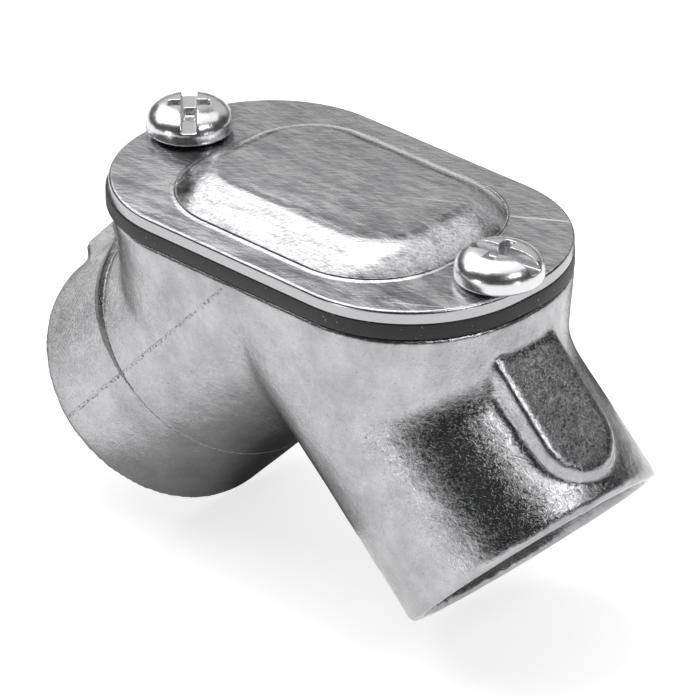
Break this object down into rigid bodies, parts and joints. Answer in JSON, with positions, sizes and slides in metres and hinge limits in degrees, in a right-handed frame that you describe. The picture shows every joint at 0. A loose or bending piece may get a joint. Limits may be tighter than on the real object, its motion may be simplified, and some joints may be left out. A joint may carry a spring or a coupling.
{
  "type": "conduit pull elbow",
  "caption": "Right-angle pull elbow for threaded rigid conduit, with a gasketed domed cover held by screws over the wire space.",
  "frame": {"origin": "centre of the whole fitting's box on its lowest plane, straight below the point where the two hub axes cross", "axes": "+Z out of the cover, +X along the cover towards the right hub, +Y across the cover; each hub points 45 degrees below level"},
  "size_m": [0.066, 0.0284, 0.0389],
  "materials": {
    "cast_zinc": "as-cast zinc alloy, satin with fine grain",
    "gasket_rubber": "black moulded rubber",
    "cover_steel": "brushed along its length, bright formed border",
    "screw_left_steel": "bright zinc plate",
    "screw_right_steel": "bright zinc plate"
  },
  "bodies": {
    "casting": {"conduit_body": "cast_zinc", "cover_gasket": "gasket_rubber"},
    "cover": {"cover_plate": "cover_steel"},
    "left_screw": {"cover_screw_left": "screw_left_steel"},
    "right_screw": {"cover_screw_right": "screw_right_steel"}
  },
  "joints": [
    {"name": "cover_lift", "type": "slide", "parent": "casting", "child": "cover", "axis": [0, 0, 1], "range_m": [0, 0.025]},
    {"name": "left_screw_out", "type": "slide", "parent": "cover", "child": "left_screw", "axis": [0, 0, 1], "range_m": [0, 0.012]},
    {"name": "right_screw_out", "type": "slide", "parent": "cover", "child": "right_screw", "axis": [0, 0, 1], "range_m": [0, 0.012]}
  ]
}
